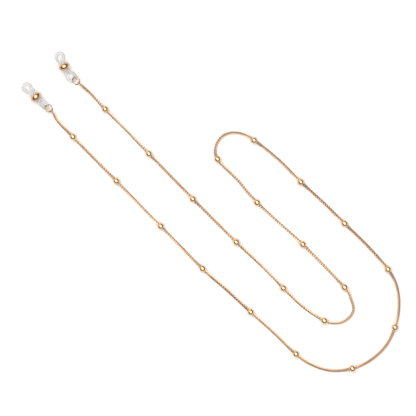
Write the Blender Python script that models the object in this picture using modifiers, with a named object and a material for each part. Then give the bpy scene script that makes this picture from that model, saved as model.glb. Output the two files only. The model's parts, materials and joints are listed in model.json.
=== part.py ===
"""Eyeglass chain: a fine curb chain with ball beads, laid out flat in a doubled S.

Each end has a jump ring, a clear silicone loop that grips a temple arm, and a
slide bead that tightens it. Metres, +Z up. The table is the plane Z = 0, and
the origin lies on it, midway between the two end fittings.
"""

from math import acos, ceil, cos, pi, radians, sin

import bmesh
import bpy
import numpy as np

MM = 0.001

# Chain and ball beads
CHAIN_WIDTH = 1.5 * MM
BALL_DIAMETER = 3.4 * MM
PIECE_GAP = 0.3 * MM
CHAIN_TUBE_STEP = 2.5 * CHAIN_WIDTH
SAG_LENGTH = 6.0 * MM
BALL_SEGMENTS = 12
BALL_RINGS = 6

# Jump ring, and the end link of the chain that holds it
RING_WIRE = 0.6 * MM
RING_DIAMETER = 4.45 * MM
RING_ROLL = radians(30.0)
RING_SPLIT = 0.12 * MM
RING_STEPS = 22
LINK_WIRE = 0.34 * MM
LINK_LENGTH = 2.4 * MM
LINK_CLEARANCE = 0.1 * MM
LINK_STEPS = 16

# Silicone loop and slide bead
STRAND_DIAMETER = 1.85 * MM
WAIST_STRAND_DIAMETER = 1.45 * MM
RING_STRAND_DIAMETER = 1.3 * MM
RING_SQUEEZE_LENGTH = 5.0 * MM
SWELL_LENGTH = 3.2 * MM
WAIST_GAP = 0.15 * MM
BORE_CLEARANCE = 0.15 * MM
SLIDE_DIAMETER = 5.8 * MM
SLIDE_LENGTH = 3.1 * MM
SLIDE_RIM = 0.2 * MM
SLIDE_STEPS = 20
SLIDE_ARC_POINTS = 9
STRAND_STEP = 1.1 * MM
STRAND_SEAT = 0.5 * MM

# How finely shapes are made, whatever their size
BAR_RESOLUTION = 2
ROUTE_STEPS = 40
WALK_STEP = 0.05 * MM
MERGE_DISTANCE = 0.01 * MM

# The chain's route, in millimetres: the ball beads, and between them the points
# where a stretch bows. It starts at the left end link and ends at the right one.
BALL = True
BEND = False
ROUTE = [
    (3.8, -19.9, BEND),
    (11.1, -27.4, BALL),
    (32.8, -49.5, BALL),
    (55.0, -72.1, BALL),
    (75.9, -93.3, BALL),
    (88.0, -104.0, BEND),
    (100.0, -115.0, BALL),
    (111.5, -125.3, BEND),
    (122.6, -136.0, BALL),
    (130.7, -141.4, BEND),
    (140.5, -144.3, BEND),
    (150.8, -143.3, BALL),
    (159.9, -139.2, BEND),
    (167.7, -131.9, BEND),
    (172.1, -122.7, BALL),
    (174.1, -112.9, BEND),
    (173.1, -102.6, BEND),
    (168.6, -93.7, BALL),
    (158.3, -81.9, BEND),
    (146.9, -70.8, BALL),
    (136.2, -60.2, BEND),
    (125.0, -50.0, BALL),
    (113.9, -38.9, BEND),
    (101.7, -29.2, BALL),
    (94.3, -25.7, BEND),
    (87.3, -26.3, BEND),
    (83.0, -31.3, BEND),
    (83.4, -38.6, BALL),
    (93.6, -49.1, BEND),
    (103.2, -60.3, BALL),
    (126.0, -81.2, BALL),
    (146.9, -102.7, BALL),
    (150.0, -107.9, BEND),
    (151.5, -113.8, BEND),
    (148.8, -118.3, BEND),
    (143.7, -120.6, BEND),
    (136.8, -119.4, BALL),
    (126.2, -112.5, BEND),
    (116.3, -103.1, BALL),
    (104.7, -91.3, BEND),
    (92.8, -80.1, BALL),
    (71.0, -58.5, BALL),
    (49.1, -35.9, BALL),
    (27.2, -13.6, BALL),
    (20.0, -6.0, BEND),
]

# The two ends. Each half of a loop has its own length and width, because the
# slide bead stands where the wearer left it. A heading is of the way from the
# slide bead to the ring, in degrees from +X. Past the slide bead each half turns
# by its turn, and it twists about its own length by its twist.
ENDS = {
    "left": {
        "slide": (-7.25, -7.55),
        "heading": -45.5,
        "ring_half": {"length": 7.85, "width": 1.3, "turn": 9.0, "twist": 38.0},
        "tip_half": {"length": 8.65, "width": 1.75, "turn": 0.0, "twist": 0.0},
        "pull": -47.0,
        "roll": -1,
    },
    "right": {
        "slide": (6.85, 7.6),
        "heading": -62.0,
        "ring_half": {"length": 8.65, "width": 1.9, "turn": 28.0, "twist": 22.0},
        "tip_half": {"length": 7.3, "width": 1.7, "turn": -14.0, "twist": 0.0},
        "pull": -42.0,
        "roll": 1,
    },
}

# Worked out from the sizes above
CHAIN_RADIUS = CHAIN_WIDTH / 2
BALL_RADIUS = BALL_DIAMETER / 2
RING_WIRE_RADIUS = RING_WIRE / 2
RING_RADIUS = RING_DIAMETER / 2 - RING_WIRE_RADIUS
RING_CENTRE_HEIGHT = RING_WIRE_RADIUS + RING_RADIUS * sin(RING_ROLL)
LINK_WIRE_RADIUS = LINK_WIRE / 2
LINK_HALF_LENGTH = LINK_LENGTH / 2 - LINK_WIRE_RADIUS
LINK_HALF_WIDTH = RING_WIRE_RADIUS + LINK_CLEARANCE + LINK_WIRE_RADIUS
LINK_CENTRE = RING_RADIUS - LINK_HALF_WIDTH + LINK_HALF_LENGTH
CHAIN_START = LINK_CENTRE + LINK_LENGTH / 2 + PIECE_GAP
STRAND_RADIUS = STRAND_DIAMETER / 2
WAIST_RADIUS = WAIST_STRAND_DIAMETER / 2
RING_STRAND_RADIUS = RING_STRAND_DIAMETER / 2
WAIST_HALF_WIDTH = WAIST_RADIUS + WAIST_GAP / 2
BORE_RADIUS = WAIST_HALF_WIDTH + WAIST_RADIUS + BORE_CLEARANCE
SLIDE_RADIUS = SLIDE_DIAMETER / 2
WAIST_HALF_LENGTH = SLIDE_LENGTH / 2 + BORE_CLEARANCE

GOLD = (0.83, 0.55, 0.27, 1.0)
CLEAR = (0.86, 0.86, 0.85, 1.0)


def empty_scene():
    """Removes every object that the file starts with."""
    for old in list(bpy.data.objects):
        bpy.data.objects.remove(old, do_unlink=True)


def new_collection(name):
    """A collection of this name in the scene."""
    made = bpy.data.collections.new(name)
    bpy.context.scene.collection.children.link(made)
    return made


def new_material(name, colour, metallic, roughness):
    """A Principled material."""
    made = bpy.data.materials.new(name)
    made.use_nodes = True
    shader = made.node_tree.nodes["Principled BSDF"]
    shader.inputs["Base Color"].default_value = colour
    shader.inputs["Metallic"].default_value = metallic
    shader.inputs["Roughness"].default_value = roughness
    return made


def add_object(name, data, material, parts):
    """An object of this data, with this material, in the parts collection."""
    made = bpy.data.objects.new(name, data)
    data.materials.append(material)
    parts.objects.link(made)
    return made


def smooth_step(share):
    """0 to 1 with level ends, as share goes from 0 to 1."""
    held = np.clip(share, 0.0, 1.0)
    return held * held * (3.0 - 2.0 * held)


def smooth_path(points, steps):
    """A Catmull-Rom curve through the points, with this many steps between two of them."""
    held = np.vstack([2 * points[0] - points[1], points, 2 * points[-1] - points[-2]])
    share = np.linspace(0.0, 1.0, steps, endpoint=False)[:, None]
    runs = []
    for before, start, end, after in zip(held, held[1:], held[2:], held[3:]):
        slope = (end - before) / 2
        next_slope = (after - start) / 2
        rise = end - start
        bow = 3 * rise - 2 * slope - next_slope
        ease = slope + next_slope - 2 * rise
        runs.append(start + share * (slope + share * (bow + share * ease)))
    return np.vstack([*runs, points[-1:]])


def run_length(path):
    """How far along the path each of its points lies."""
    return np.concatenate([[0.0], np.cumsum(np.linalg.norm(np.diff(path, axis=0), axis=1))])


def bar(name, points, radius, material, parts, closed=False, scales=None):
    """A round bar of this radius along the points, with filled ends where it is open."""
    curve = bpy.data.curves.new(name, "CURVE")
    curve.dimensions = "3D"
    curve.twist_mode = "MINIMUM"
    curve.bevel_depth = radius
    curve.bevel_resolution = BAR_RESOLUTION
    curve.use_fill_caps = not closed
    spline = curve.splines.new("POLY")
    spline.points.add(len(points) - 1)
    for number, point in enumerate(points):
        spline.points[number].co = (*point, 1.0)
        if scales is not None:
            spline.points[number].radius = scales[number]
    spline.use_cyclic_u = closed
    return add_object(name, curve, material, parts)


def end_frame(end):
    """The ring's centre, its pull towards the chain, and its rolled side."""
    heading = radians(end["pull"])
    pull = np.array([cos(heading), sin(heading), 0.0])
    side = np.array([-sin(heading), cos(heading), 0.0])
    up = np.array([0.0, 0.0, 1.0])
    rolled = side * cos(RING_ROLL) + up * sin(RING_ROLL) * end["roll"]
    strand_end = loop_points(end, np.array([-end["ring_half"]["length"] * MM]), np.zeros(1))[0]
    centre = strand_end + pull * STRAND_SEAT
    centre[2] = RING_CENTRE_HEIGHT
    return centre, pull, rolled


def spine(end, along):
    """Where the loop's middle line is, and its heading, this far from the slide bead.

    Along is positive towards the tip and negative towards the ring. The line is
    straight through the slide bead and turns evenly past it.
    """
    tip = along >= 0
    half = end["tip_half"] if tip else end["ring_half"]
    length = half["length"] * MM
    start = radians(end["heading"]) + (pi if tip else 0.0)
    reach = np.arange(0.5 * WALK_STEP, max(abs(along), WALK_STEP), WALK_STEP)
    turned = radians(half["turn"]) * np.clip(
        (reach - WAIST_HALF_LENGTH) / (length - WAIST_HALF_LENGTH), 0.0, 1.0
    )
    headings = start + turned
    walked = min(abs(along) / len(reach), WALK_STEP)
    place = np.array(end["slide"]) * MM
    place = place + walked * np.array([np.cos(headings).sum(), np.sin(headings).sum()])
    last = headings[-1] + (pi if tip else 0.0)
    return place, last


def loop_height(end, along, across):
    """The loop's height: the slide bead holds it up, and its two ends sink and twist."""
    tip = along >= 0
    half = end["tip_half"] if tip else end["ring_half"]
    low = STRAND_RADIUS if tip else RING_CENTRE_HEIGHT
    share = smooth_step(
        (abs(along) - WAIST_HALF_LENGTH) / (half["length"] * MM - WAIST_HALF_LENGTH)
    )
    twisted = across * sin(radians(half["twist"]) * share) * end["roll"]
    return SLIDE_RADIUS + (low - SLIDE_RADIUS) * share - twisted


def loop_points(end, along, across):
    """Points of the loop, from how far along its middle line and across it they are."""
    found = []
    for distance, offset in zip(along, across):
        place, heading = spine(end, distance)
        x = place[0] - sin(heading) * offset
        y = place[1] + cos(heading) * offset
        found.append((x, y, loop_height(end, distance, offset)))
    return np.array(found)


def half_outline(half, way):
    """One half of the strand's line, from the waist round the bend, as along and across."""
    length = half["length"] * MM
    width = half["width"] * MM
    bend = length - width
    legs = ceil((bend - WAIST_HALF_LENGTH) / STRAND_STEP)
    straight = np.linspace(WAIST_HALF_LENGTH, bend, legs + 1)
    widening = WAIST_HALF_WIDTH + (width - WAIST_HALF_WIDTH) * smooth_step(
        (straight - WAIST_HALF_LENGTH) / (bend - WAIST_HALF_LENGTH)
    )
    turns = ceil(pi * width / STRAND_STEP / 2) * 2
    angle = np.linspace(0.0, pi, turns + 1)[1:-1]
    along = np.concatenate([straight, bend + width * np.sin(angle), straight[::-1]])
    across = np.concatenate([widening, width * np.cos(angle), -widening[::-1]])
    return along * way, across


def silicone_loop(name, end, material, parts):
    """The endless silicone strand, squeezed thinner where the slide bead holds it."""
    tip_along, tip_across = half_outline(end["tip_half"], 1)
    ring_along, ring_across = half_outline(end["ring_half"], -1)
    along = np.concatenate([[0.0], tip_along, [0.0], ring_along])
    across = np.concatenate(
        [[WAIST_HALF_WIDTH], tip_across, [-WAIST_HALF_WIDTH], -ring_across]
    )
    swell = smooth_step((np.abs(along) - WAIST_HALF_LENGTH) / SWELL_LENGTH)
    bend = smooth_step(1.0 - (along + end["ring_half"]["length"] * MM) / RING_SQUEEZE_LENGTH)
    thickness = WAIST_RADIUS + (STRAND_RADIUS - WAIST_RADIUS) * swell
    thickness = thickness + (RING_STRAND_RADIUS - STRAND_RADIUS) * bend
    points = loop_points(end, along, across)
    return bar(name, points, STRAND_RADIUS, material, parts, True, thickness / STRAND_RADIUS)


def slide_bead(name, end, material, parts):
    """A turned rondelle, bored for the two strands, on its side on the table.

    Its belly is the part of an ellipse about its middle that ends at the rim of each
    mouth.
    """
    half = SLIDE_LENGTH / 2
    rim_angle = acos((BORE_RADIUS + SLIDE_RIM) / SLIDE_RADIUS)
    angles = np.linspace(rim_angle, -rim_angle, SLIDE_ARC_POINTS)
    outer = [(SLIDE_RADIUS * cos(a), half * sin(a) / sin(rim_angle)) for a in angles]
    inner = [(BORE_RADIUS, -half), (BORE_RADIUS, half)]
    profile = outer + inner
    mesh = bpy.data.meshes.new(name)
    work = bmesh.new()
    corners = [work.verts.new((radius, 0.0, height)) for radius, height in profile]
    for start, stop in zip(corners, corners[1:] + corners[:1]):
        work.edges.new((start, stop))
    work.to_mesh(mesh)
    work.free()
    made = add_object(name, mesh, material, parts)
    screw = made.modifiers.new("turned", "SCREW")
    screw.axis = "Z"
    screw.steps = SLIDE_STEPS
    screw.render_steps = SLIDE_STEPS
    screw.use_merge_vertices = True
    screw.merge_threshold = MERGE_DISTANCE
    screw.use_normal_calculate = True
    heading = radians(end["heading"])
    made.location = (end["slide"][0] * MM, end["slide"][1] * MM, SLIDE_RADIUS)
    made.rotation_euler = (0.0, pi / 2, heading)
    return made


def jump_ring(name, end, material, parts):
    """A split wire ring, rolled so that it passes over and under the silicone strand."""
    centre, pull, rolled = end_frame(end)
    opening = RING_SPLIT / RING_RADIUS
    angles = pi / 2 + np.linspace(opening / 2, 2 * pi - opening / 2, RING_STEPS)
    points = [
        centre + RING_RADIUS * (pull * cos(angle) + rolled * sin(angle) * end["roll"])
        for angle in angles
    ]
    return bar(name, points, RING_WIRE_RADIUS, material, parts)


def end_link(name, end, material, parts):
    """The chain's last link, an oval round the ring's wire and square to it."""
    centre, pull, rolled = end_frame(end)
    middle = centre + pull * LINK_CENTRE
    upright = np.cross(pull, rolled)
    straight = LINK_HALF_LENGTH - LINK_HALF_WIDTH
    points = []
    for angle in np.linspace(0.0, 2 * pi, LINK_STEPS, endpoint=False) + pi / LINK_STEPS:
        along = LINK_HALF_WIDTH * cos(angle) + straight * (1 if cos(angle) > 0 else -1)
        points.append(middle + pull * along + upright * LINK_HALF_WIDTH * sin(angle))
    return bar(name, points, LINK_WIRE_RADIUS, material, parts, True)


def chain_route():
    """The chain's middle line in plan, with how far along it each ball bead lies."""
    starts = []
    for end in ENDS.values():
        centre, pull = end_frame(end)[:2]
        starts.append((centre + pull * CHAIN_START)[:2])
    inner = np.array([stop[:2] for stop in ROUTE]) * MM
    points = np.vstack([starts[0], inner, starts[1]])
    path = smooth_path(points, ROUTE_STEPS)
    lengths = run_length(path)
    stops = enumerate(ROUTE, start=1)
    balls = [lengths[number * ROUTE_STEPS] for number, stop in stops if stop[2] == BALL]
    return path, lengths, balls


def route_height(along, balls, total):
    """The chain leaves a ball at mid height, sinks to the table, and rises to the end link."""
    away = np.min(np.abs(along[:, None] - np.array(balls)[None, :]), axis=1)
    ball_rise = (BALL_RADIUS - CHAIN_RADIUS) * (1.0 - smooth_step(away / SAG_LENGTH))
    from_end = np.minimum(along, total - along)
    end_rise = (RING_CENTRE_HEIGHT - CHAIN_RADIUS) * (1.0 - smooth_step(from_end / SAG_LENGTH))
    return CHAIN_RADIUS + np.maximum(ball_rise, end_rise)


def route_points(path, lengths, balls, along):
    """Points of the chain's middle line at these distances along it."""
    x = np.interp(along, lengths, path[:, 0])
    y = np.interp(along, lengths, path[:, 1])
    return np.column_stack([x, y, route_height(along, balls, lengths[-1])])


def chain(material, parts):
    """The ball beads, and a tube for each stretch of curb chain between two of them."""
    path, lengths, balls = chain_route()
    trim = BALL_RADIUS + PIECE_GAP
    stops = [(-trim, balls[0])] + list(zip(balls, balls[1:])) + [(balls[-1], lengths[-1] + trim)]
    for number, (start, stop) in enumerate(stops, start=1):
        begin, finish = start + trim, stop - trim
        pieces = ceil((finish - begin) / CHAIN_TUBE_STEP)
        along = np.linspace(begin, finish, pieces + 1)
        points = route_points(path, lengths, balls, along)
        bar(f"chain_{number:02d}", points, CHAIN_RADIUS, material, parts)
    ball_mesh = ball()
    for number, place in enumerate(route_points(path, lengths, balls, np.array(balls)), start=1):
        made = bpy.data.objects.new(f"bead_{number:02d}", ball_mesh)
        parts.objects.link(made)
        made.location = place
    ball_mesh.materials.append(material)


def ball():
    """The ball beads' mesh."""
    mesh = bpy.data.meshes.new("ball")
    work = bmesh.new()
    bmesh.ops.create_uvsphere(
        work, u_segments=BALL_SEGMENTS, v_segments=BALL_RINGS, radius=BALL_RADIUS
    )
    work.to_mesh(mesh)
    work.free()
    mesh.shade_smooth()
    return mesh


def build():
    """Makes the whole eyeglass chain."""
    empty_scene()
    parts = new_collection("eyeglass_chain")
    gold = new_material("polished_gold_plate", GOLD, 1.0, 0.18)
    silicone = new_material("clear_silicone", CLEAR, 0.0, 0.25)
    chain(gold, parts)
    for side_name, end in ENDS.items():
        end_link(f"{side_name}_end_link", end, gold, parts)
        jump_ring(f"{side_name}_jump_ring", end, gold, parts)
        silicone_loop(f"{side_name}_silicone_loop", end, silicone, parts)
        slide_bead(f"{side_name}_slide_bead", end, gold, parts)


build()
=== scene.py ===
# %% [markdown]
# # A gold eyeglass chain, laid out on a table
#
# Opticians sell this to people who keep taking their glasses off. It is a fine
# curb chain, with a ball bead about every three centimetres. At each end a split
# jump ring holds a loop of clear silicone, and a gold slide bead pinches the loop
# onto the temple arm of the glasses.
#
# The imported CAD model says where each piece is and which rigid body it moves
# with. Every piece here is drawn again at full detail, in the same place.

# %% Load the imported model
import json
from math import cos, pi, radians, sin

import bpy
import numpy as np
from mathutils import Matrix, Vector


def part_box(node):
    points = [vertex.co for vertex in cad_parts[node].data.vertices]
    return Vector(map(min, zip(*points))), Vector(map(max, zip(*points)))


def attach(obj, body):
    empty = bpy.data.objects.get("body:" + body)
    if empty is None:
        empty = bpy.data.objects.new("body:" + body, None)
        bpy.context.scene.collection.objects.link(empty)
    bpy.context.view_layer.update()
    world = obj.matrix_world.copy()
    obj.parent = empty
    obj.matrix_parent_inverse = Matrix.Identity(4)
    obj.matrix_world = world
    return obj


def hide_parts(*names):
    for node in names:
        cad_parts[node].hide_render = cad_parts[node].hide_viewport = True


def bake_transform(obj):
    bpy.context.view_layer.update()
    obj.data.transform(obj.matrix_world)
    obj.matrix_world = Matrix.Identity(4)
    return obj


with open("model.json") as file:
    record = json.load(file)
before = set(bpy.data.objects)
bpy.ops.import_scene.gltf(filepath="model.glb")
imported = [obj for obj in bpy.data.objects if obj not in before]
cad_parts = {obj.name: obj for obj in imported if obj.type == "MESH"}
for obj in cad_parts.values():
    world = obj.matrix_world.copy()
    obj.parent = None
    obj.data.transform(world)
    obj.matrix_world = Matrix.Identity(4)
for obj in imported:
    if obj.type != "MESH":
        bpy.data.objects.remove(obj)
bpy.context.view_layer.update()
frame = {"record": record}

MM = 0.001

# %% [markdown]
# ## The camera
#
# The chain is looked at from straight above, so that it reads as a drawing of
# itself. A real camera would stand well back with a long lens, because a short
# lens near the table would show the sides of the beads at the picture's edge. So
# the lens is long, and the height follows from how much of the table it has to
# take in.

# %% The camera
VIEW_WIDTH = 208.0 * MM
VIEW_CENTRE = (78.6 * MM, -63.0 * MM)
LENS = 200.0
SENSOR = 36.0
FOCUS_HEIGHT = 1.5 * MM

camera_data = bpy.data.cameras.new("copy_stand_camera")
camera_data.lens = LENS
camera_data.sensor_width = SENSOR
camera = bpy.data.objects.new("copy_stand_camera", camera_data)
camera.location = (*VIEW_CENTRE, FOCUS_HEIGHT + VIEW_WIDTH * LENS / SENSOR)
bpy.context.scene.collection.objects.link(camera)
bpy.context.scene.camera = camera
print("camera height:", round(camera.location.z, 3), "m")

# %% [markdown]
# ## Two ways to make a surface
#
# Nearly everything here is wire or strand, or was turned on a lathe. So two
# functions make all the shapes. One carries a round section along a path, and the
# other turns a profile round an axis. Both work on whole arrays of points, because
# a chain has tens of thousands of them.


# %% Surfaces from arrays
def unit(vectors):
    """Each vector divided by its own length."""
    return vectors / np.linalg.norm(vectors, axis=-1, keepdims=True)


def grid_faces(rows, columns, closed):
    """The quads of a grid of points. Columns always join round, and rows do if closed."""
    row = np.arange(rows if closed else rows - 1)[:, None]
    column = np.arange(columns)[None, :]
    here = row * columns
    beyond = (row + 1) % rows * columns
    after = (column + 1) % columns
    corners = [here + column, here + after, beyond + after, beyond + column]
    return np.stack(corners, axis=-1).reshape(-1, 4)


def swept(path, hint, radius, sides, closed):
    """A round section carried along a path.

    At each point of the path the tangent is the way to the next point from the one
    before. Side is the hint with its share along the tangent taken away, and other
    is tangent cross side. The surface is path + radius * (cos a * side + sin a *
    other), with a from 0 to a full turn.
    """
    if closed:
        tangent = unit(np.roll(path, -1, axis=0) - np.roll(path, 1, axis=0))
    else:
        tangent = unit(np.gradient(path, axis=0))
    hint = np.broadcast_to(hint, path.shape)
    side = unit(hint - np.sum(hint * tangent, axis=1, keepdims=True) * tangent)
    other = np.cross(tangent, side)
    angle = np.linspace(0.0, 2 * pi, sides, endpoint=False)[None, :, None]
    reach = np.broadcast_to(radius, len(path))[:, None, None]
    ring = np.cos(angle) * side[:, None, :] + np.sin(angle) * other[:, None, :]
    points = (path[:, None, :] + reach * ring).reshape(-1, 3)
    faces = grid_faces(len(path), sides, closed).tolist()
    if not closed:
        last = (len(path) - 1) * sides
        faces.append(list(range(sides))[::-1])
        faces.append(list(range(last, last + sides)))
    return points, faces


def turned(profile, segments):
    """A closed profile of (radius, height) turned round the X axis.

    A point of the profile at radius r and height h goes to (h, r cos a, r sin a),
    with a from 0 to a full turn.
    """
    angle = np.linspace(0.0, 2 * pi, segments, endpoint=False)[None, :]
    radius, height = profile[:, :1], profile[:, 1:]
    points = np.stack(
        [height + 0 * angle, radius * np.cos(angle), radius * np.sin(angle)], axis=-1
    )
    return points.reshape(-1, 3), grid_faces(len(profile), segments, True).tolist()


def placed(points, origin, along, across):
    """Points moved so that their X lies along one way, Y across, and Z square to both."""
    up = np.cross(along, across)
    return origin + points @ np.stack([along, across, up])


SHARP_ANGLE = radians(50.0)


def piece(name, points, faces, body, replaced, material):
    """A mesh piece that rides on a CAD body and stands for some CAD nodes."""
    mesh = bpy.data.meshes.new(name)
    mesh.from_pydata(points, [], faces)
    mesh.shade_smooth()
    mesh.set_sharp_from_angle(angle=SHARP_ANGLE)
    mesh.materials.append(material)
    made = bpy.data.objects.new(name, mesh)
    bpy.context.scene.collection.objects.link(made)
    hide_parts(*replaced)
    if body is not None:
        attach(made, body)
    return made


# %% [markdown]
# ## Node helpers
#
# Every finish is a small network of nodes. One function adds a node, sets what it
# is told, and joins what it is given. Colours are written as they look on a
# screen, so they are turned to the linear values that light is worked out in.


# %% Node helpers
def linear(hex_colour):
    """An sRGB hex colour as linear red, green, blue and alpha.

    Each channel c becomes ((c + 0.055) / 1.055) ** 2.4, or c / 12.92 where dark.
    """
    channels = np.array([int(hex_colour[i : i + 2], 16) for i in (1, 3, 5)]) / 255
    bright = ((channels + 0.055) / 1.055) ** 2.4
    return (*np.where(channels <= 0.04045, channels / 12.92, bright), 1.0)


def add_node(tree, kind, inputs=None, **settings):
    """A node of this kind. Inputs take a value, or another node's output to join."""
    made = tree.nodes.new(kind)
    for name, value in settings.items():
        setattr(made, name, value)
    for name, value in (inputs or {}).items():
        if isinstance(value, bpy.types.NodeSocket):
            tree.links.new(value, made.inputs[name])
        else:
            made.inputs[name].default_value = value
    return made


def new_material(name, **constants):
    """A Principled material, its node tree and its shader, with these fixed inputs."""
    made = bpy.data.materials.new(name)
    made.use_nodes = True
    shader = made.node_tree.nodes["Principled BSDF"]
    for socket, value in constants.items():
        shader.inputs[socket.replace("_", " ")].default_value = value
    return made, made.node_tree, shader


# %% [markdown]
# ## Gold plate
#
# The metal is brass, tumbled smooth, then plated with a warm yellow gold. Polished
# gold has hardly any colour of its own: the eye reads it from what it mirrors,
# from the way it warms it, and from a haze of fine tumbling marks. So the colour
# drifts only a little, over a few millimetres, where the plate is thicker or
# thinner. The roughness carries the marks, and a bump far thinner than a hair
# breaks up the mirror. A chain is duller than a bead, because links rub.


# %% Gold plate
# A colour Mix node names its sockets like its other kinds do, so they go by number.
MIX_FIRST = 6
MIX_SECOND = 7
MIX_RESULT = 2
# Noise hardly ever leaves this span, so this is what a finish is stretched over.
NOISE_SPAN = {"From Min": 0.3, "From Max": 0.7}


def gold_plate(name, thick_plate, thin_plate, polish, patch_size, mark_size, mark_depth):
    """Gold plate on brass, mirror-like or rubbed, by how rough its polish runs."""
    made, tree, shader = new_material(name, Metallic=1.0)
    place = add_node(tree, "ShaderNodeTexCoord").outputs["Object"]
    patches = add_node(
        tree,
        "ShaderNodeTexNoise",
        {"Vector": place, "Scale": 1.0 / patch_size, "Detail": 3.0},
    ).outputs["Fac"]
    tint = add_node(
        tree,
        "ShaderNodeMix",
        {"Factor": patches, MIX_FIRST: linear(thick_plate), MIX_SECOND: linear(thin_plate)},
        data_type="RGBA",
    )
    tree.links.new(tint.outputs[MIX_RESULT], shader.inputs["Base Color"])
    marks = add_node(
        tree,
        "ShaderNodeTexNoise",
        {"Vector": place, "Scale": 1.0 / mark_size, "Detail": 4.0, "Roughness": 0.6},
    ).outputs["Fac"]
    haze = add_node(
        tree,
        "ShaderNodeMapRange",
        {"Value": marks, **NOISE_SPAN, "To Min": polish[0], "To Max": polish[1]},
    )
    tree.links.new(haze.outputs[0], shader.inputs["Roughness"])
    dents = add_node(
        tree, "ShaderNodeBump", {"Height": marks, "Distance": mark_depth, "Strength": 1.0}
    )
    tree.links.new(dents.outputs["Normal"], shader.inputs["Normal"])
    return made


# Links rub on each other, so the chain is satin: it reads as warm, soft-edged stripes.
chain_gold = gold_plate(
    "tumbled_gold_plated_brass_wire",
    thick_plate="#EAC294",
    thin_plate="#DDAE7B",
    polish=(0.22, 0.36),
    patch_size=2.2 * MM,
    mark_size=0.16 * MM,
    mark_depth=0.006 * MM,
)
# A ball is a small bright mirror: a cream highlight inside a brown ring.
ball_gold = gold_plate(
    "polished_gold_plated_brass_ball",
    thick_plate="#F2D2AA",
    thin_plate="#E8C194",
    polish=(0.08, 0.18),
    patch_size=1.6 * MM,
    mark_size=0.22 * MM,
    mark_depth=0.002 * MM,
)
# Drawn wire keeps faint draw marks, so a jump ring is a softer line of light.
ring_gold = gold_plate(
    "drawn_gold_plated_brass_wire",
    thick_plate="#E0BF98",
    thin_plate="#D2AC84",
    polish=(0.12, 0.24),
    patch_size=1.4 * MM,
    mark_size=0.2 * MM,
    mark_depth=0.003 * MM,
)
# The turned bead is nearly as bright as a ball, with a wider highlight on its belly.
slide_gold = gold_plate(
    "turned_gold_plated_brass",
    thick_plate="#E0BD97",
    thin_plate="#D2A87F",
    polish=(0.08, 0.18),
    patch_size=2.0 * MM,
    mark_size=0.3 * MM,
    mark_depth=0.002 * MM,
)
print("gold finishes:", [m.name for m in (chain_gold, ball_gold, ring_gold, slide_gold)])

# %% [markdown]
# ## Clear silicone
#
# The loops are moulded from clear silicone rubber. Its refractive index is near
# 1.41. It isn't water-clear: fine filler in the rubber scatters a little light,
# and the moulded skin is slightly satin, so it looks faintly grey where light has
# to cross more of it, and brightest where it is thin. Half of the light goes
# straight through it, so the loop casts only a pale shadow.

# %% Clear silicone
CLOUD_SIZE = 1.8 * MM

silicone, silicone_tree, silicone_shader = new_material(
    "moulded_clear_silicone_rubber",
    IOR=1.41,
    Transmission_Weight=0.6,
    Alpha=0.5,
)
silicone_place = add_node(silicone_tree, "ShaderNodeTexCoord").outputs["Object"]
silicone_cloud = add_node(
    silicone_tree,
    "ShaderNodeTexNoise",
    {"Vector": silicone_place, "Scale": 1.0 / CLOUD_SIZE, "Detail": 2.0},
).outputs["Fac"]
silicone_tint = add_node(
    silicone_tree,
    "ShaderNodeMix",
    {"Factor": silicone_cloud, MIX_FIRST: linear("#EDECEC"), MIX_SECOND: linear("#E2E0E1")},
    data_type="RGBA",
)
silicone_tree.links.new(silicone_tint.outputs[MIX_RESULT], silicone_shader.inputs["Base Color"])
silicone_skin = add_node(
    silicone_tree,
    "ShaderNodeMapRange",
    {"Value": silicone_cloud, **NOISE_SPAN, "To Min": 0.08, "To Max": 0.2},
)
silicone_tree.links.new(silicone_skin.outputs[0], silicone_shader.inputs["Roughness"])
print("silicone:", silicone.name)

# %% [markdown]
# ## The end fittings' layout
#
# Each silicone loop has a middle line that runs straight through its slide bead
# and turns evenly past it. The two halves of a loop have their own lengths and
# widths, because the wearer left the slide bead where it was. A half is its
# length, half its width, its turn and its twist. The numbers repeat the CAD
# model's, in millimetres and degrees.

# %% The end fittings' layout
RING_WIRE = 0.6 * MM
RING_DIAMETER = 4.45 * MM
RING_ROLL = radians(30.0)
RING_SPLIT = 0.12 * MM
RING_RADIUS = (RING_DIAMETER - RING_WIRE) / 2
RING_HEIGHT = RING_WIRE / 2 + RING_RADIUS * sin(RING_ROLL)
STRAND = 1.85 * MM
WAIST_STRAND = 1.45 * MM
RING_STRAND = 1.3 * MM
RING_SQUEEZE = 5.0 * MM
STRAND_SEAT = 0.5 * MM
WAIST_GAP = 0.15 * MM
WAIST_SPREAD = (WAIST_STRAND + WAIST_GAP) / 2
SLIDE_DIAMETER = 5.8 * MM
SLIDE_LENGTH = 3.1 * MM
BORE_CLEARANCE = 0.15 * MM
WAIST_LENGTH = SLIDE_LENGTH / 2 + BORE_CLEARANCE
SWELL_LENGTH = 3.2 * MM
BORE_RADIUS = WAIST_SPREAD + WAIST_STRAND / 2 + BORE_CLEARANCE
MIDDLE_STEPS = 400

ENDS = {
    "left": {
        "slide": np.array([-7.25, -7.55]) * MM,
        "heading": radians(-45.5),
        "ring_half": (7.85 * MM, 1.3 * MM, radians(9.0), radians(38.0)),
        "tip_half": (8.65 * MM, 1.75 * MM, 0.0, 0.0),
        "pull": radians(-47.0),
        "roll": -1,
    },
    "right": {
        "slide": np.array([6.85, 7.6]) * MM,
        "heading": radians(-62.0),
        "ring_half": (8.65 * MM, 1.9 * MM, radians(28.0), radians(22.0)),
        "tip_half": (7.3 * MM, 1.7 * MM, radians(-14.0), 0.0),
        "pull": radians(-42.0),
        "roll": 1,
    },
}


def smooth_step(share):
    """3 s squared less 2 s cubed, with s held between 0 and 1."""
    held = np.clip(share, 0.0, 1.0)
    return held * held * (3.0 - 2.0 * held)


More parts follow.
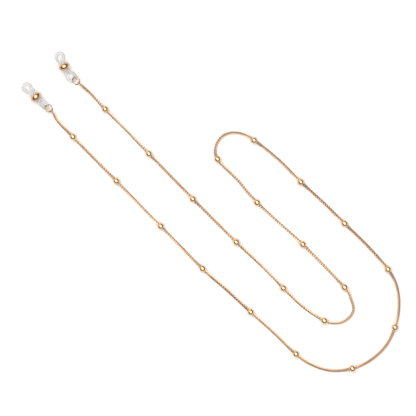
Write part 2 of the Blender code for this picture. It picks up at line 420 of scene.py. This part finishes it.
def loop_points(end, half_name, along, across):
    """Points of a silicone loop, from how far along its middle line and across it.

    The middle line's heading is steady inside the slide bead, then turns in
    proportion to distance. Its place is the sum of small steps along the heading.
    Across is measured level and square to the heading. The height eases from the
    slide bead's axis to the table or the ring, and twists about the middle line.
    """
    length, _, turn, twist = end[half_name]
    way = 1.0 if half_name == "tip_half" else -1.0
    low = STRAND / 2 if half_name == "tip_half" else RING_HEIGHT
    steps = np.linspace(0.0, length, MIDDLE_STEPS)
    headings = end["heading"] + turn * np.clip(
        (steps - WAIST_LENGTH) / (length - WAIST_LENGTH), 0.0, 1.0
    )
    course = -way * np.column_stack([np.cos(headings), np.sin(headings)])
    middles = (course[1:] + course[:-1]) / 2 * (steps[1] - steps[0])
    line = end["slide"] + np.vstack([np.zeros((1, 2)), np.cumsum(middles, axis=0)])
    heading = np.interp(along, steps, headings)
    x = np.interp(along, steps, line[:, 0]) - np.sin(heading) * across
    y = np.interp(along, steps, line[:, 1]) + np.cos(heading) * across
    share = smooth_step((along - WAIST_LENGTH) / (length - WAIST_LENGTH))
    twisted = across * np.sin(twist * share) * end["roll"]
    z = SLIDE_DIAMETER / 2 + (low - SLIDE_DIAMETER / 2) * share - twisted
    return np.column_stack([x, y, z])


def ring_frame(end):
    """A jump ring's centre, its pull towards the chain, and its rolled side."""
    pull = np.array([cos(end["pull"]), sin(end["pull"]), 0.0])
    side = np.array([-pull[1], pull[0], 0.0])
    up = np.array([0.0, 0.0, 1.0])
    rolled = side * cos(RING_ROLL) + up * sin(RING_ROLL) * end["roll"]
    bend = loop_points(end, "ring_half", np.array([end["ring_half"][0]]), np.zeros(1))[0]
    centre = bend + pull * STRAND_SEAT
    centre[2] = RING_HEIGHT
    return centre, pull, rolled


for side_name, end in ENDS.items():
    low, high = (np.array(corner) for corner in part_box(f"{side_name}_jump_ring"))
    off = np.linalg.norm((low + high) / 2 - ring_frame(end)[0])
    print(side_name, "ring is", round(off / MM, 3), "mm from the CAD ring's centre")

# %% [markdown]
# ## The chain's route
#
# The chain is the object's one cord: about 675 mm of it, in a doubled S. It lies
# where the CAD model's tubes lie. A Catmull-Rom curve passes through every point
# of the route, so the beads stay where they are and the chain bows smoothly
# between them. Beyond each end the route runs straight on into the end link.

# %% The chain's route
BALL_DIAMETER = 3.4 * MM
SAG_LENGTH = 6.0 * MM
LINK_WIRE = 0.34 * MM
LINK_LENGTH = 2.4 * MM
LINK_CLEARANCE = 0.1 * MM
LINK_SPREAD = RING_WIRE / 2 + LINK_CLEARANCE + LINK_WIRE / 2
LINK_REACH = (LINK_LENGTH - LINK_WIRE) / 2
LINK_CENTRE = RING_RADIUS - LINK_SPREAD + LINK_REACH
PIECE_GAP = 0.3 * MM
CHAIN_START = LINK_CENTRE + LINK_LENGTH / 2 + PIECE_GAP
RUN_ON = 3.0 * MM
ROUTE_STEPS = 40

BALL, BEND = True, False
ROUTE = [
    (3.8, -19.9, BEND), (11.1, -27.4, BALL), (32.8, -49.5, BALL), (55.0, -72.1, BALL),
    (75.9, -93.3, BALL), (88.0, -104.0, BEND), (100.0, -115.0, BALL), (111.5, -125.3, BEND),
    (122.6, -136.0, BALL), (130.7, -141.4, BEND), (140.5, -144.3, BEND), (150.8, -143.3, BALL),
    (159.9, -139.2, BEND), (167.7, -131.9, BEND), (172.1, -122.7, BALL), (174.1, -112.9, BEND),
    (173.1, -102.6, BEND), (168.6, -93.7, BALL), (158.3, -81.9, BEND), (146.9, -70.8, BALL),
    (136.2, -60.2, BEND), (125.0, -50.0, BALL), (113.9, -38.9, BEND), (101.7, -29.2, BALL),
    (94.3, -25.7, BEND), (87.3, -26.3, BEND), (83.0, -31.3, BEND), (83.4, -38.6, BALL),
    (93.6, -49.1, BEND), (103.2, -60.3, BALL), (126.0, -81.2, BALL), (146.9, -102.7, BALL),
    (150.0, -107.9, BEND), (151.5, -113.8, BEND), (148.8, -118.3, BEND), (143.7, -120.6, BEND),
    (136.8, -119.4, BALL), (126.2, -112.5, BEND), (116.3, -103.1, BALL), (104.7, -91.3, BEND),
    (92.8, -80.1, BALL), (71.0, -58.5, BALL), (49.1, -35.9, BALL), (27.2, -13.6, BALL),
    (20.0, -6.0, BEND),
]


def smooth_path(points, steps):
    """A Catmull-Rom curve: between two points it is the cubic whose slopes there are
    half the way from the point before to the point after."""
    held = np.vstack([2 * points[0] - points[1], points, 2 * points[-1] - points[-2]])
    before, start, end, after = held[:-3], held[1:-2], held[2:-1], held[3:]
    share = np.linspace(0.0, 1.0, steps, endpoint=False)[None, :, None]
    slope, next_slope = (end - before) / 2, (after - start) / 2
    bow = 3 * (end - start) - 2 * slope - next_slope
    ease = slope + next_slope - 2 * (end - start)
    cubic = slope[:, None] + share * (bow[:, None] + share * ease[:, None])
    return np.vstack([(start[:, None] + share * cubic).reshape(-1, 2), points[-1:]])


frames = {side_name: ring_frame(end) for side_name, end in ENDS.items()}
starts = [(centre + pull * CHAIN_START)[:2] for centre, pull, rolled in frames.values()]
inner = np.array([stop[:2] for stop in ROUTE]) * MM
plan = smooth_path(np.vstack([starts[0], inner, starts[1]]), ROUTE_STEPS)
run = np.concatenate([[0.0], np.cumsum(np.linalg.norm(np.diff(plan, axis=0), axis=1))])
TOTAL = run[-1]
balls = np.array(
    [run[number * ROUTE_STEPS] for number, stop in enumerate(ROUTE, start=1) if stop[2] == BALL]
)
first_pull, last_pull = (pull[:2] for centre, pull, rolled in frames.values())
plan = np.vstack([plan[0] - first_pull * RUN_ON, plan, plan[-1] - last_pull * RUN_ON])
run = np.concatenate([[-RUN_ON], run, [TOTAL + RUN_ON]])
print("chain:", round(TOTAL / MM, 1), "mm,", len(balls), "ball beads")

# %% [markdown]
# ## One curb link
#
# A curb link starts as an oval of wire, and is then twisted so that the chain lies
# flat. Where one side of the link rises, the side opposite dips, so each link goes
# over its neighbour on one side and under it on the other. That is what holds a
# chain together. Written down, the wire's middle is (reach cos t, spread sin t,
# twist sin 2t).
#
# The wire is 0.44 mm thick and a link is about 2.3 mm long. There are some five
# hundred links, so each has only twelve sections of five sides.

# %% One curb link
CURB_WIRE = 0.44 * MM
CURB_WIDTH = 1.5 * MM
CURB_PITCH = 1.335 * MM
CURB_PLAY = 0.02 * MM
CURB_REACH = (CURB_PITCH + CURB_WIRE) / 2 + CURB_PLAY
CURB_SPREAD = (CURB_WIDTH - CURB_WIRE) / 2
CURB_TWIST = 0.235 * MM
CURB_SECTIONS = 12
CURB_SIDES = 5


def curb_link():
    """The twisted oval of wire, as points and faces."""
    turn = np.linspace(0.0, 2 * pi, CURB_SECTIONS, endpoint=False) + pi / CURB_SECTIONS
    path = np.column_stack(
        [CURB_REACH * np.cos(turn), CURB_SPREAD * np.sin(turn), CURB_TWIST * np.sin(2 * turn)]
    )
    outward = np.column_stack(
        [CURB_SPREAD * np.cos(turn), CURB_REACH * np.sin(turn), 0.0 * turn]
    )
    return swept(path, outward, CURB_WIRE / 2, CURB_SIDES, True)


link_points, link_faces = curb_link()
print("one link:", len(link_points), "points,", len(link_faces), "faces")

# %% [markdown]
# ## How the chain lies
#
# A loose chain never lies perfectly flat. It rolls over slowly along its length:
# where it lies flat it looks wide, and where it stands on edge it looks like a
# thin line. The list gives its roll in degrees at places counted in beads, with
# half numbers half way between two beads. At both ends the roll has to match the
# end link. The chain's height follows from its roll, because the link's lowest
# point touches the table, and it climbs to the middle of each ball bead.

# %% How the chain lies
ROLL = [
    (0.0, 30), (1.0, 28), (2.0, 38), (2.7, 68), (3.2, 64), (3.8, 38), (4.5, 10), (5.3, 28),
    (6.0, 28), (7.5, 5), (8.4, 28), (9.3, 10), (10.5, 10), (11.3, 32), (12.5, 22), (13.6, 35),
    (14.5, 66), (15.4, 40), (16.5, 28), (17.1, 60), (17.6, 46), (18.15, 68), (19.0, 40),
    (20.0, 32), (21.0, 38), (21.5, 70), (22.0, 46), (23.0, 30),
]
LIFT = 0.01 * MM

bead_count = np.arange(len(balls) + 2)
bead_place = np.concatenate([[0.0], balls, [TOTAL]])
roll_place = np.interp([number for number, roll in ROLL], bead_count, bead_place)
roll_angle = np.radians([roll for number, roll in ROLL])
tilts = np.radians(np.arange(0.0, 91.0, 3.0))
tilted = (
    np.sin(tilts)[:, None] * link_points[:, 1] + np.cos(tilts)[:, None] * link_points[:, 2]
)
floor_height = LIFT - tilted.min(axis=1)


def chain_roll(along):
    """The roll, eased from one listed place to the next."""
    after = np.clip(np.searchsorted(roll_place, along), 1, len(ROLL) - 1)
    start, end = roll_place[after - 1], roll_place[after]
    ease = smooth_step((along - start) / (end - start))
    return roll_angle[after - 1] + (roll_angle[after] - roll_angle[after - 1]) * ease


def chain_line(along):
    """The chain's middle line. Near a ball bead and at the ends it eases up from where it
    lies to their middle height, by smooth_step of distance over the sag length."""
    x = np.interp(along, run, plan[:, 0])
    y = np.interp(along, run, plan[:, 1])
    lying = np.interp(chain_roll(along), tilts, floor_height)
    from_ball = np.abs(along[:, None] - balls).min(axis=1)
    near_ball = 1.0 - smooth_step(from_ball / SAG_LENGTH)
    from_end = np.minimum(along, TOTAL - along)
    near_end = 1.0 - smooth_step(from_end / SAG_LENGTH)
    z = lying + (BALL_DIAMETER / 2 - lying) * near_ball + (RING_HEIGHT - lying) * near_end
    return np.column_stack([x, y, z])


TANGENT_STEP = 0.4 * MM


def chain_frames(along):
    """Where each link's middle is, which way it runs, and which way its width lies."""
    origin = chain_line(along)
    tangent = unit(chain_line(along + TANGENT_STEP) - chain_line(along - TANGENT_STEP))
    level = unit(np.cross(tangent, [0.0, 0.0, 1.0]))
    upward = np.cross(level, tangent)
    roll = chain_roll(along)[:, None]
    return origin, tangent, np.cos(roll) * level + np.sin(roll) * upward


sample = chain_line(np.linspace(0.0, TOTAL, 2000))
print("chain's middle is", round(sample[:, 2].min() / MM, 2), "mm up at its lowest")

# %% [markdown]
# ## The runs of chain
#
# In the CAD model the chain bends at its ball beads, and each rigid run is a body.
# The middle run lies round the neck. Seven runs lead from it to the left end, and
# four to the right. Every run is one piece. A run that
# starts at another body's bead begins inside that ball, so that it can turn about
# the ball's middle and still look threaded.
#
# Each link is the same mesh, moved into its own place. Its points are origin +
# x * tangent + y * width + z * (tangent cross width).

# %% The runs of chain
BALL_ENTRY = 0.9 * MM
END_ENTRY = 0.05 * MM

RUNS = [("neck_run", 8, 18)]
RUNS += [(f"left_run_{number}", 8 - number, 9 - number) for number in range(1, 7)]
RUNS += [("left_run_7", 0, 2)]
RUNS += [(f"right_run_{number}", 17 + number, 18 + number) for number in range(1, 4)]
RUNS += [("right_run_4", 21, 23)]


def run_links(body, first, last):
    """The middles of a run's links, evenly spaced as close to the pitch as they fit."""
    begin, finish = bead_place[first], bead_place[last]
    begin += END_ENTRY if first == 0 else BALL_ENTRY if body.startswith("right") else 0.0
    at_end = last == len(balls) + 1
    finish -= END_ENTRY if at_end else BALL_ENTRY if body.startswith("left") else 0.0
    count = round((finish - begin) / CURB_PITCH) + 1
    return np.linspace(begin, finish, count)


def chain_piece(body, first, last):
    """One run of curb chain, every link in its place."""
    along = run_links(body, first, last)
    origin, tangent, width = chain_frames(along)
    thick = np.cross(tangent, width)
    axes = np.stack([tangent, width, thick], axis=1)
    points = (origin[:, None, :] + link_points @ axes).reshape(-1, 3)
    shift = np.arange(len(along))[:, None, None] * len(link_points)
    faces = (np.array(link_faces)[None] + shift).reshape(-1, 4).tolist()
    nodes = [f"chain_{number:02d}" for number in range(first + 1, last + 1)]
    return piece(f"curb_chain_{body}", points, faces, body, nodes, chain_gold)


chains = {body: chain_piece(body, first, last) for body, first, last in RUNS}
print("links:", sum(len(made.data.vertices) for made in chains.values()) // len(link_points))

# %% [markdown]
# ## The ball beads
#
# A ball bead is pressed from two cups of sheet brass and soldered to the chain. It
# is close to a perfect sphere, and all its character is in the polish. The sphere
# is a grid of rings round the chain's own direction, so that its two poles hide
# where the chain enters.

# %% The ball beads
BALL_RINGS = 24
BALL_SECTORS = 48


def ball_shape():
    """A sphere of rings at angles a from one pole, where a ring's radius is R sin a and
    its distance along the axis is -R cos a. A fan of triangles closes each pole."""
    radius = BALL_DIAMETER / 2
    angle = np.linspace(0.0, pi, BALL_RINGS + 1)[1:-1, None]
    turn = np.linspace(0.0, 2 * pi, BALL_SECTORS, endpoint=False)[None, :]
    x = -radius * np.cos(angle) + 0 * turn
    y = radius * np.sin(angle) * np.cos(turn)
    z = radius * np.sin(angle) * np.sin(turn)
    rings = np.stack([x, y, z], axis=-1).reshape(-1, 3)
    points = np.vstack([rings, [[-radius, 0.0, 0.0], [radius, 0.0, 0.0]]])
    faces = grid_faces(BALL_RINGS - 1, BALL_SECTORS, False).tolist()
    here = np.arange(BALL_SECTORS)
    after = (here + 1) % BALL_SECTORS
    last = (BALL_RINGS - 2) * BALL_SECTORS
    near_pole, far_pole = len(rings), len(rings) + 1
    faces += np.column_stack([after, here, here * 0 + near_pole]).tolist()
    faces += np.column_stack([here + last, after + last, here * 0 + far_pole]).tolist()
    return points, faces


node_body = {
    node: body for body, nodes in frame["record"]["behaviour"]["bodies"].items() for node in nodes
}
ball_points, ball_faces = ball_shape()
ball_places, ball_ways, ball_sides = chain_frames(balls)
beads = {}
for number, (origin, way, side) in enumerate(zip(ball_places, ball_ways, ball_sides), start=1):
    node = f"bead_{number:02d}"
    beads[number] = piece(
        f"ball_{node}",
        placed(ball_points, origin, way, side),
        ball_faces,
        node_body[node],
        [node],
        ball_gold,
    )
print("ball beads:", len(beads))

# %% [markdown]
# ## Jump rings and end links
#
# A jump ring is a turn of wire, cut where it can be opened with pliers. The cut
# shows as a hair-thin slit with square ends. The chain's last link is an upright
# oval round that ring. Both are round wire along a path: an arc for the ring, and
# for the link two half circles joined by straights.

# %% Jump rings and end links
RING_STEPS = 96
RING_SIDES = 20
OVAL_STEPS = 48
OVAL_SIDES = 12


def jump_ring_shape(end, centre, pull, rolled):
    """An arc centre + R (pull cos t + rolled sin t), short of a full turn by the split."""
    opening = RING_SPLIT / RING_RADIUS
    turn = pi / 2 + np.linspace(opening / 2, 2 * pi - opening / 2, RING_STEPS)[:, None]
    outward = pull * np.cos(turn) + rolled * np.sin(turn) * end["roll"]
    return swept(centre + RING_RADIUS * outward, outward, RING_WIRE / 2, RING_SIDES, False)


def end_link_shape(centre, pull, rolled):
    """An oval centre + pull (w cos t +- s) + upright w sin t, where s is half its
    straights and w is half its width."""
    upright = np.cross(pull, rolled)
    turn = np.linspace(0.0, 2 * pi, OVAL_STEPS, endpoint=False)[:, None] + pi / OVAL_STEPS
    outward = pull * np.cos(turn) + upright * np.sin(turn)
    straight = pull * (LINK_REACH - LINK_SPREAD) * np.sign(np.cos(turn))
    path = centre + pull * LINK_CENTRE + straight + outward * LINK_SPREAD
    return swept(path, outward, LINK_WIRE / 2, OVAL_SIDES, True)


end_links = {}
for side_name, end in ENDS.items():
    ring_node, link_node = f"{side_name}_jump_ring", f"{side_name}_end_link"
    points, faces = jump_ring_shape(end, *frames[side_name])
    ring_body = node_body[ring_node]
    piece(f"{side_name}_split_ring", points, faces, ring_body, [ring_node], ring_gold)
    points, faces = end_link_shape(*frames[side_name])
    link_body = node_body[link_node]
    end_links[side_name] = piece(
        f"{side_name}_oval_link", points, faces, link_body, [link_node], chain_gold
    )
print("rings and end links:", 2 * len(end_links))

# %% [markdown]
# ## Slide beads
#
# The slide bead is a rondelle turned from brass bar: a full belly, a soft lip at
# each mouth, and a bore that is a tight fit for two strands of silicone. The
# profile is part of an ellipse outside, a quarter ellipse round each lip, and a
# straight bore, turned in one go.

# %% Slide beads
SLIDE_SECTORS = 96
BELLY_POINTS = 41
LIP_POINTS = 9
SLIDE_RIM = 0.2 * MM
LIP_CREST = BORE_RADIUS + SLIDE_RIM
LIP_DEPTH = 0.28 * MM


def slide_bead_profile():
    """The belly is part of an ellipse about the bead's middle: (R cos a, half length *
    sin a / sin end), where end is the angle at which R cos a meets the lip's crest. Each
    lip is a quarter ellipse from the crest into the bore."""
    half = SLIDE_LENGTH / 2
    end = np.arccos(LIP_CREST / (SLIDE_DIAMETER / 2))
    belly = np.linspace(-end, end, BELLY_POINTS)
    outer = np.column_stack(
        [SLIDE_DIAMETER / 2 * np.cos(belly), half * np.sin(belly) / np.sin(end)]
    )
    quarter = np.linspace(0.0, pi / 2, LIP_POINTS)[1:]
    lip_radius = LIP_CREST - SLIDE_RIM * np.sin(quarter)
    lip = np.column_stack([lip_radius, half - LIP_DEPTH * (1 - np.cos(quarter))])
    return np.vstack([outer, lip, lip[::-1] * [1.0, -1.0]])


slide_profile = slide_bead_profile()
for side_name, end in ENDS.items():
    node = f"{side_name}_slide_bead"
    axis = np.array([cos(end["heading"]), sin(end["heading"]), 0.0])
    level = np.array([-axis[1], axis[0], 0.0])
    origin = np.array([*end["slide"], SLIDE_DIAMETER / 2])
    points, faces = turned(slide_profile, SLIDE_SECTORS)
    points = placed(points, origin, axis, level)
    piece(f"{side_name}_rondelle", points, faces, node_body[node], [node], slide_gold)
print("slide bead profile:", len(slide_profile), "points")

# %% [markdown]
# ## Silicone loops
#
# A loop is one endless strand. It is narrow where the bead squeezes it, full
# either side, and squeezed a little again where it passes through the jump ring.
# The slide bead runs along it, so each loop is drawn as two halves that meet out
# of sight in the bead's bore. Each half is a piece of its own, baked in place and
# not attached to any body. The hold lengths past the jump ring's wire and at the
# very tip are given but not used.

# %% Silicone loops
STRAND_SIDES = 20
LEG_STEPS = 26
BEND_STEPS = 26
BEAD_STEPS = 6
RING_HOLD = 1.4 * MM
TIP_HOLD = 0.85 * MM


def strand_half(end, half_name):
    """One half of a loop: in the bead, out along one leg, round the bend and back.

    The legs spread from the waist by smooth_step. The bend is a half circle as wide
    as the legs end up. The strand's thickness swells by smooth_step past the waist,
    and the ring squeezes it again.
    """
    length, width = end[half_name][:2]
    bend = length - width
    leg = np.linspace(WAIST_LENGTH, bend, LEG_STEPS)
    spread = WAIST_SPREAD + (width - WAIST_SPREAD) * smooth_step(
        (leg - WAIST_LENGTH) / (bend - WAIST_LENGTH)
    )
    inside = np.linspace(0.0, WAIST_LENGTH, BEAD_STEPS, endpoint=False)
    angle = np.linspace(0.0, pi, BEND_STEPS + 1)[1:-1]
    along = np.concatenate([inside, leg, bend + width * np.sin(angle), leg[::-1], inside[::-1]])
    waist = np.full(BEAD_STEPS, WAIST_SPREAD)
    across = np.concatenate([waist, spread, width * np.cos(angle), -spread[::-1], -waist])
    swell = smooth_step((along - WAIST_LENGTH) / SWELL_LENGTH)
    thick = WAIST_STRAND + (STRAND - WAIST_STRAND) * swell
    if half_name == "ring_half":
        squeeze = smooth_step(1.0 - (length - along) / RING_SQUEEZE)
        thick = thick + (RING_STRAND - STRAND) * squeeze
    path = loop_points(end, half_name, along, across)
    return swept(path, np.array([0.0, 0.0, 1.0]), thick / 2, STRAND_SIDES, False)


for side_name, end in ENDS.items():
    node = f"{side_name}_silicone_loop"
    for half_name, way, held in (("ring_half", -1.0, RING_HOLD), ("tip_half", 1.0, TIP_HOLD)):
        points, faces = strand_half(end, half_name)
        made = piece(
            f"{side_name}_silicone_{half_name}", points, faces, None, [node], silicone
        )
        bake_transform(made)
print("silicone halves:", 2 * len(ENDS))

# %% [markdown]
# ## Each run's middle line
#
# For each run of the chain, the path is the run's own middle line, from bead to bead,
# sampled at no fewer than twenty points, about one every 2 mm. The ball beads and end
# links that ride on the run are gathered with it. A declared cord is at least 30 mm
# long, so a run that is a little shorter is declared as 30 mm. A left run's path is
# turned round to run the other way.

for body, first, last in RUNS:
    begin, finish = bead_place[first], bead_place[last]
    path = chain_line(np.linspace(begin, finish, max(20, int((finish - begin) / (2 * MM)))))
    on_it = [beads[number] for number in beads if node_body[f"bead_{number:02d}"] == body]
    on_it += [end_links[name] for name in ENDS if node_body[f"{name}_end_link"] == body]
    if body.startswith("left"):
        path = path[::-1]
print("declared runs:", len(RUNS))

# %% [markdown]
# ## The table and the light
#
# The chain lies on a plain white table. Polished gold shows the room, so the room
# is plain too: a wide diffuser overhead with a brighter core, a small panel at the
# upper left, and nothing anywhere else. The dim walls of the room are what draw
# the brown arcs round the edges of the beads.

# %% The table and the light
TABLE_SIZE = 12.0

table_material = new_material(
    "matt_white_laminate", Base_Color=linear("#F7F7F7"), Roughness=0.85, Specular_IOR_Level=0.2
)[0]
half = TABLE_SIZE / 2
table_mesh = bpy.data.meshes.new("table_top")
table_mesh.from_pydata(
    [(-half, -half, 0.0), (half, -half, 0.0), (half, half, 0.0), (-half, half, 0.0)], [], [(0, 1, 2, 3)]
)
table_mesh.materials.append(table_material)
table_top = bpy.data.objects.new("table_top", table_mesh)
bpy.context.scene.collection.objects.link(table_top)


def soft_light(name, place, width, length, power):
    """A soft light of this width and length that faces the middle of the chain. Its
    length runs away from the chain, and it isn't seen itself."""
    data = bpy.data.lights.new(name, "AREA")
    data.shape = "RECTANGLE"
    data.size = width
    data.size_y = length
    data.energy = power
    made = bpy.data.objects.new(name, data)
    target = np.array([*VIEW_CENTRE, 0.0])
    away = target - np.array(place)
    made.location = place
    made.rotation_euler = (
        float(np.arctan2(np.hypot(away[0], away[1]), -away[2])),
        0.0,
        float(np.arctan2(away[1], away[0]) - pi / 2),
    )
    made.visible_camera = False
    bpy.context.scene.collection.objects.link(made)


centre_x, centre_y = VIEW_CENTRE
diffuser_place = (centre_x - 0.15, centre_y + 0.2, 2.0)
core_place = (centre_x - 0.1, centre_y + 0.15, 1.95)
soft_light("overhead_diffuser", diffuser_place, width=3.2, length=5.2, power=42.0)
soft_light("overhead_core", core_place, width=2.0, length=3.0, power=30.0)
soft_light("upper_left_panel", (-1.6, 1.7, 0.9), width=1.4, length=1.4, power=5.0)

world = bpy.data.worlds.new("dim_studio")
world.use_nodes = True
world.node_tree.nodes["Background"].inputs["Color"].default_value = linear("#8A8885")
world.node_tree.nodes["Background"].inputs["Strength"].default_value = 0.8
bpy.context.scene.world = world
bpy.context.scene.view_settings.view_transform = "Standard"
